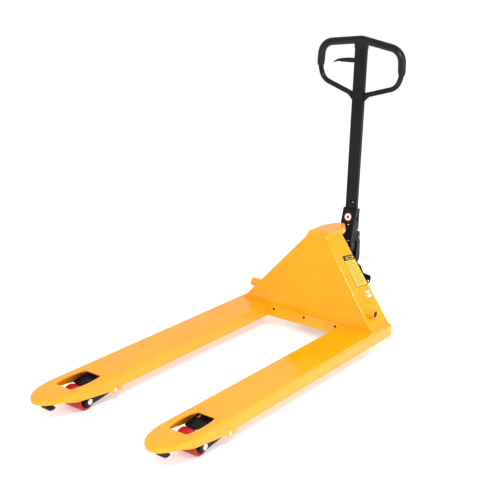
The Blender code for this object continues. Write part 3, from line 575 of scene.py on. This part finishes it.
def handle_path():
    """The handle loop's middle line, (x, z), from one foot over the top to the other."""
    points = HANDLE + [HANDLE_TOP] + [(-x, z) for x, z in reversed(HANDLE)]
    bent = fillet(points, [0.0, *HANDLE_BENDS, 0.0], 14)
    fine = []
    for first, second in zip(bent, bent[1:]):
        pieces = max(1, round((Vector(second) - Vector(first)).length / PATH_STEP))
        fine += [tuple(Vector(first).lerp(Vector(second), k / pieces)) for k in range(pieces)]
    return [Vector(point) for point in fine + [bent[-1]]]


def tube_rings(path, radii, sides=28):
    """Rings square to the handle's path, each with its own radius."""
    rings = []
    for i, (middle, radius) in enumerate(zip(path, radii)):
        ahead = path[min(i + 1, len(path) - 1)] - path[max(i - 1, 0)]
        side = Vector((ahead.y, -ahead.x)).normalized()
        rings.append([(middle.x + side.x * radius * math.cos(a), BAR_Y + radius * math.sin(a),
                       middle.y + side.y * radius * math.cos(a))
                      for a in (math.tau * k / sides for k in range(sides))])
    return rings


def make_handle():
    """The loop of tube, its grip, the collar at the top of the drawbar and two gussets."""
    path = handle_path()
    tube = loft(tube_rings(path, [TUBE_R] * len(path)))
    put("handle_tube", tube, "black_paint", "drawbar", ["handle_loop"], finish=TUBE_BLACK)
    covered = [point for point in path if point.y > GRIP_END_Z]
    count = len(covered)
    radii = []
    for i in range(count):
        along = min(i, count - 1 - i) * PATH_STEP
        lip = TUBE_R + GRIP_LIP * min(1.0, (along + 0.0015) / 0.003)
        swell = math.sin(math.pi / 2 * min(1.0, along / 0.055))
        radii.append(lip + (GRIP_R - TUBE_R - GRIP_LIP) * swell)
    put("handle_moulding", loft(tube_rings(covered, radii)), "black_rubber", "drawbar", ["handle_grip"])
    # the collar's sections: height and half its width and depth
    collar = [(1.190, 0.0278, 0.0118), (1.1905, 0.0288, 0.0128), (1.204, 0.0292, 0.0132),
              (1.212, 0.0305, 0.0142), (1.219, 0.0345, 0.0152), (1.226, 0.0400, 0.0148)]
    rings = []
    for z, half_x, half_y in collar:
        corners = [(half_x, BAR_Y + half_y), (-half_x, BAR_Y + half_y), (-half_x, BAR_Y - half_y),
                   (half_x, BAR_Y - half_y)]
        rings.append([(x, y, z) for x, y in fillet(corners, [0.006] * 4, 6)])
    put("handle_collar", loft(rings), "black_plastic", "drawbar")
    outline = [(0.0272, 1.006), (0.070, 1.008), (0.052, 0.994), (0.040, 0.984), (0.0272, 0.970)]
    for side, sign in SIDES.items():
        mesh = prism([(sign * x, z) for x, z in outline], "Y", BAR_Y - 0.0045, BAR_Y + 0.0045)
        made = put(f"handle_gusset_{side}", mesh, "black_paint", "drawbar")
        soften(made, 0.0010)


def make_control_lever():
    """Finger lever: a smooth back, a hooked tip and a scalloped grip edge of four waves."""
    waves = []
    for i in range(65):
        t = i / 64
        waves.append((-0.034 - 0.062 * t, 1.1305 - 0.002 * t - 0.0018 * abs(math.sin(4 * math.pi * t))))
    back = curve_through([(0.007, 1.1450), (-0.012, 1.1480), (-0.035, 1.1490), (-0.060, 1.1475),
                          (-0.085, 1.1440), (-0.108, 1.1385), (-0.122, 1.1310), (-0.1325, 1.1200),
                          (-0.118, 1.1255), (-0.104, 1.1283)], 6)[:55]
    outline = back + waves[::-1] + [(0.007, 1.1270)]
    mesh = prism(outline, "Y", BAR_Y - 0.0044, BAR_Y + 0.0044)
    made = put("control_lever_moulding", mesh, "black_plastic", "control_lever", ["control_lever"])
    soften(made, 0.0012, 40, 3)
    low, high, bore, outside = BAR_Y - 0.0054, BAR_Y + 0.0054, 0.0045, 0.0088
    ring = [(low, bore), (low, outside), (high, outside), (high, bore)]
    put("control_lever_hub", turned("Y", LEVER_PIN, ring, 48, closed=True), "black_plastic", "control_lever")


# --- crown --------------------------------------------------------------------------------------
def make_crown():
    """A pressed cap: flared skirt, rounded rim and a flat top, tapering behind."""
    low, high = CROWN_Z
    rim_r, half_wide = 0.009, 0.049
    half = [(half_wide, 0.527), (0.0495, 0.616), (0.046, 0.650), (0.032, 0.690), (0.014, 0.722)]
    radii = [0.007, 0.05, 0.05, 0.03, 0.010]
    plan = fillet(half + [(-x, y) for x, y in reversed(half)], radii + radii[::-1], 8)
    rings = []
    rim = [(0.0015 - rim_r * (1 - math.cos(a)), high - rim_r + rim_r * math.sin(a))
           for a in (math.radians(9 * i) for i in range(11))]
    for grow, z in [(0.0062, low + 0.0003), (0.0050, low + 0.005), (0.0030, low + 0.010)] + rim:
        wider, longer = 1 + grow / half_wide, 1 + grow / 0.1
        rings.append([(x * wider, CROWN_MIDDLE_Y + (y - CROWN_MIDDLE_Y) * longer, z) for x, y in plan])
    put("crown_pressing", loft(rings), "orange_paint", "chassis", ["crown_plate"], sharp=50)


# --- labels, screws, chain, black discs that paint shade in holes, caps, back plates and welds ---
def cheek_point(y, z, lift=0.0):
    """A point on the right cheek's outer face, and lifted off it."""
    slope = (FOOT_HALF - HEAD_HALF) / (FRONT[2][1] - FRONT[0][1])
    normal = Vector((1.0, 0.0, slope)).normalized()
    return Vector((FOOT_HALF - slope * (z - FRONT[0][1]), y, z)) + normal * lift


def patch(name, corners, area, level, finish):
    """A thin film on part of a four-cornered place on the cheek, as (left, right, top, bottom) shares."""
    a, b, c, d = (Vector(point) for point in corners)
    u0, u1, v0, v1 = area
    normal = (b - a).cross(c - a).normalized()
    if normal.x - normal.y < 0:
        normal = -normal
    outline = [a.lerp(b, u).lerp(c.lerp(d, u), v) for u, v in ((u0, v0), (u1, v0), (u1, v1), (u0, v1))]
    rings = [[tuple(point + normal * lift) for point in outline] for lift in (0.0, SKIN * level)]
    put(name, loft(rings), "black_plastic", "chassis", finish=finish)


def make_cheek_labels():
    """A yellow label with plain rules and a small white tag with three bars; neither says anything."""
    label = [(0.552, 0.363), (0.626, 0.356), (0.528, 0.253), (0.614, 0.246)]
    tag = [(0.568, 0.2305), (0.597, 0.2280), (0.563, 0.2100), (0.593, 0.2075)]
    label, tag = ([tuple(cheek_point(y, z)) for y, z in corners] for corners in (label, tag))
    films = [("edge", (0.0, 1.0, 0.0, 1.0), 1.0, LABEL_BLACK),
             ("sheet", (0.030, 0.970, 0.018, 0.982), 1.5, LABEL_YELLOW),
             ("band", (0.0, 1.0, 0.0, 0.160), 2.0, LABEL_BLACK),
             ("window", (0.26, 0.92, 0.045, 0.125), 2.5, LABEL_YELLOW),
             ("bar", (0.34, 0.84, 0.062, 0.108), 3.0, LABEL_BLACK)]
    for number in range(12):
        top = 0.215 + 0.062 * number
        reach = 0.66 + 0.26 * abs(math.sin(2.3 * number))
        films.append((f"rule_{number}", (0.09, reach, top, top + 0.014), 2.0, LABEL_GREY))
    for part, area, level, finish in films:
        patch(f"cheek_label_{part}", label, area, level, finish)
    patch("cheek_tag", tag, (0.0, 1.0, 0.0, 1.0), 1.0, LABEL_WHITE)
    marks = ((0.12, 0.26, 0.18, 0.82), (0.40, 0.54, 0.18, 0.50), (0.68, 0.88, 0.18, 0.82))
    for number, area in enumerate(marks):
        patch(f"cheek_tag_mark_{number}", tag, area, 1.5, LABEL_BLUE)


def stand(name, place, normal, profile, slot_name, body, sides=32, finish=None):
    """A turned piece standing on a surface point; the profile runs outwards along the normal."""
    mesh = turned("Z", (0.0, 0.0), profile, sides)
    turn = Vector(normal).to_track_quat("Z", "Y").to_matrix().to_4x4()
    bmesh.ops.transform(mesh, matrix=Matrix.Translation(place) @ turn, verts=mesh.verts)
    return put(name, mesh, slot_name, body, finish=finish)


def make_small_hardware():
    """A round sticker with a red rim, dome-headed screws, and a short chain."""
    base_normal = Vector((0.0, -0.062, 0.0135)).normalized()
    disc = Vector((-0.001, 0.7696, 0.466))
    layers = (("rim", 0.0180, 2.0, LABEL_RED), ("face", 0.0148, 3.0, LABEL_WHITE),
              ("dot", 0.0060, 4.0, LABEL_BLACK))
    for part, radius, level, finish in layers:
        film = [(0.0, radius), (SKIN * level, radius)]
        stand(f"base_disc_{part}", disc, base_normal, film, "black_plastic", "drawbar", 48, finish)
    dome = [(-0.001, 1.0), (0.25, 1.0), (0.62, 0.80), (0.85, 0.45), (0.9, 0.1)]  # for a radius of 1
    for name, place, normal, radius in (
            ("screw_base_front", (0.0075, 0.7625, 0.4345), base_normal, 0.0036),
            ("screw_tube_front", (0.012, BAR_Y - BAR_HALF_Y, 0.531), (0, -1, 0), 0.0026),
            ("screw_base_side", (0.0325, 0.8010, 0.4059), (1, 0, 0), 0.0034),
            ("screw_base_low", (0.0325, 0.7990, 0.3600), (1, 0, 0), 0.0030),
            ("screw_cheek", tuple(cheek_point(0.484, 0.1720)), (0.773, 0.0, 0.634), 0.0036)):
        body = "chassis" if name == "screw_cheek" else "drawbar"
        stand(name, place, normal, [(at * radius, r * radius) for at, r in dome], "zinc_steel", body)
    first, step = Vector((0.0375, 0.8185, 0.3868)), Vector((0.0, -0.0030, -0.0070))
    for number in range(3):
        make_chain_link(number, first + step * number, 90.0 * (number % 2))


def make_chain_link(number, middle, turn):
    """An oval ring of round wire, hanging on the one above; its ends are half circles."""
    wire, bend, straight = 0.0012, 0.0026, 0.0052
    steps, sides = 28, 10
    rings = []
    for i in range(steps):
        a = math.tau * i / steps
        away = math.copysign(straight / 2, math.sin(a))
        centre = Vector((bend * math.cos(a), 0.0, bend * math.sin(a) + away))
        out = Vector((math.cos(a), 0.0, math.sin(a)))
        rings.append([centre + out * wire * math.cos(b) + Vector((0.0, wire * math.sin(b), 0.0))
                      for b in (math.tau * k / sides for k in range(sides))])
    mesh = loft(rings, closed=True)
    move = Matrix.Translation(middle) @ Matrix.Rotation(math.radians(turn + 30.0), 4, "Z")
    bmesh.ops.transform(mesh, matrix=move, verts=mesh.verts)
    put(f"chain_link_{number}", mesh, "zinc_steel", "pump_unit")


def weld(name, start, end, radius):
    """A painted weld bead on the chassis: a rod with scallops 4.5 mm long and thinner ends."""
    start, end = Vector(start), Vector(end)
    along = end - start
    count = max(4, round(along.length / 0.0012))
    turn = along.to_track_quat("Z", "Y")
    side, up = turn @ Vector((1, 0, 0)), turn @ Vector((0, 1, 0))
    rings = []
    for i in range(count + 1):
        t = i / count
        thin = min(1.0, 8.0 * min(t, 1 - t) + 0.35)
        r = radius * thin * (0.88 + 0.12 * abs(math.sin(math.pi * along.length * t / 0.0045)))
        rings.append([start + along * t + (side * math.cos(a) + up * math.sin(a)) * r
                      for a in (math.tau * k / 12 for k in range(12))])
    put(name, loft(rings), "orange_paint", "chassis", sharp=80)


def make_hole_shade_and_caps():
    """Black discs that paint the shade in the cross member's holes, the forks' stop holes and the shaft
    bosses' bores; caps on the drawbar pin; and plates that close the view behind the drawbar.
    """
    # black discs set into the cross member's holes paint the shade inside them
    cross = [(0.4484, 0.0030), (0.4486, 0.0050), (0.4540, 0.0050)]
    for number, x in enumerate(CROSS_HOLES_X):
        mesh = turned("Y", (x, CROSS_HOLES_Z), cross, 32)
        put(f"cross_hole_shade_{number}", mesh, "black_plastic", "chassis")
    # black discs just inside the ends of the shaft bosses paint the shade in their bores
    shaft_end = [(0.3050, 0.0136), (0.3088, 0.0136), (0.3090, 0.0100)]
    pin_end = [(0.0372, 0.0096), (0.0384, 0.0096), (0.0390, 0.0090), (0.0392, 0.0020)]
    for side, sign in SIDES.items():
        for place, edge in (("outer", sign), ("inner", -sign)):
            face = sign * FORK_X + edge * FORK_HALF
            # a black disc near each face of the fork's stop hole paints the shade inside it
            stop = [(face - edge * 0.0032, STOP_HOLE_SHADE_R), (face - edge * 0.0006, STOP_HOLE_SHADE_R)]
            put(f"pin_hole_shade_{side}_{place}", turned("X", STOP_HOLE, stop, 24), "black_plastic", "chassis")
        for name, centre, profile, body in (("shaft_end_shade", SHAFT, shaft_end, "rocker"),
                                            ("drawbar_pin_cap", DRAWBAR_PIN, pin_end, "pump_unit")):
            mesh = turned("X", centre, [(sign * at, r) for at, r in profile], 48)
            put(f"{name}_{side}", mesh, "black_plastic", body)
    for name, (front, rear), (foot, head), half, body in (
            ("base_back_plate", (0.7970, 0.8010), (0.3514, 0.4000), 0.0270, "drawbar"),
            ("pump_back_plate", (0.8202, 0.8222), (0.2725, 0.3115), 0.0343, "pump_unit")):
        outline = [(front, foot), (rear, foot), (rear, head), (front, head)]
        put(name, prism(outline, "X", -half, half), "black_paint", body)


def make_welds():
    """Beads along the foot of the frame."""
    front_y, level = FRONT[0][0] - 0.0003, 0.1068
    inner, outer = FORK_X - FORK_HALF + 0.008, FOOT_HALF - 0.004
    cheek = FOOT_HALF + 0.0002
    for side, sign in SIDES.items():
        weld(f"weld_front_{side}", (sign * inner, front_y, level), (sign * outer, front_y, level), 0.0022)
        weld(f"weld_cheek_{side}", (sign * cheek, 0.456, level), (sign * cheek, 0.594, level), 0.0024)
    weld("weld_cross", (-0.176, front_y + 0.0001, 0.1064), (0.176, front_y + 0.0001, 0.1064), 0.0020)


# --- floor, light and camera ------------------------------------------------------------------
WHITE = (1.0, 1.0, 1.0, 1.0)
FLOOR_REACH, FLOOR_GLOW, SKY_STRENGTH = 40.0, 0.40, 0.75
# place, aim, long side and its direction, short side, power; the key is a strip along the edges' glints
LAMPS = {"key": ((1.79, -2.35, 3.07), (0.2, 0.48, 0.25), 3.0, (0.563, 0.717, 0.411), 0.5, 108.0),
         "front": ((-1.8, -3.4, 2.2), (0, 0.1, 0.2), 2.0, (1, 0, 0), 2.0, 5.0),
         "side": ((3.6, 0.6, 1.8), (0, 0.3, 0.3), 2.0, (0, 1, 0), 2.0, 40.0),
         "rear": ((0.2, 3.2, 2.8), (0, 0.2, 0.4), 2.0, (1, 0, 0), 2.0, 30.0)}
CAMERA_PLACE, CAMERA_LENS = (2.2696, -3.1321, 1.7534), 78.34
AZIMUTH, ELEVATION, ROLL = math.radians(35.760), math.radians(17.739), math.radians(1.800)


def make_floor():
    """A wide pale floor with a faint glow of its own, which keeps it even out to the horizon."""
    mesh = bmesh.new()
    bmesh.ops.create_grid(mesh, x_segments=2, y_segments=2, size=FLOOR_REACH)
    data = bpy.data.meshes.new("floor")
    mesh.to_mesh(data)
    mesh.free()
    floor = bpy.data.objects.new("floor", data)
    bpy.context.scene.collection.objects.link(floor)
    pale = Finish("floor_pale", Roughness=0.9, Specular_IOR_Level=0.1, Emission_Color=WHITE,
                  Emission_Strength=FLOOR_GLOW)
    pale.colour(pale.blend(pale.noise(3.0), (0.84, 0.84, 0.84), (0.88, 0.88, 0.88)))
    data.materials.append(pale.made)


def aimed(name, data, place, right, up, back):
    """A lamp or camera at a place, with its own three axes given."""
    made = bpy.data.objects.new(name, data)
    turn = Matrix((right, up, back)).transposed()
    made.matrix_world = Matrix.LocRotScale(Vector(place), turn, None)
    bpy.context.scene.collection.objects.link(made)
    return made


def make_lights():
    world = bpy.data.worlds.new("studio")
    world.use_nodes = True
    world.node_tree.nodes["Background"].inputs["Color"].default_value = WHITE
    world.node_tree.nodes["Background"].inputs["Strength"].default_value = SKY_STRENGTH
    bpy.context.scene.world = world
    bpy.context.scene.view_settings.view_transform = "Standard"
    for name, (place, aim, length, along, width, power) in LAMPS.items():
        lamp = bpy.data.lights.new(name, "AREA")
        lamp.shape = "RECTANGLE"
        lamp.size, lamp.size_y = length, width
        lamp.energy = power
        back = (Vector(place) - Vector(aim)).normalized()
        right = (Vector(along) - back * back.dot(Vector(along))).normalized()
        aimed(name, lamp, place, right, back.cross(right), back)


def make_camera():
    away = math.cos(ELEVATION)
    back = Vector((math.sin(AZIMUTH) * away, -math.cos(AZIMUTH) * away, math.sin(ELEVATION)))
    level = Vector((math.cos(AZIMUTH), math.sin(AZIMUTH), 0.0))
    upward = back.cross(level)
    right = level * math.cos(ROLL) + upward * math.sin(ROLL)
    up = upward * math.cos(ROLL) - level * math.sin(ROLL)
    data = bpy.data.cameras.new("camera")
    data.lens = CAMERA_LENS
    data.sensor_width = 36.0
    data.clip_end = 60.0
    bpy.context.scene.camera = aimed("camera", data, CAMERA_PLACE, right, up, back)


finish_cad_nodes()
make_frame()
make_crown()
make_handle()
make_control_lever()
make_cheek_labels()
make_small_hardware()
make_welds()
make_hole_shade_and_caps()
for SIDE, SIGN in SIDES.items():
    make_fork(SIDE, SIGN)
    make_wheels(SIDE, SIGN)
    make_load_roller(SIDE, SIGN)
    make_entry_roller(SIDE, SIGN)
make_floor()
make_lights()
make_camera()
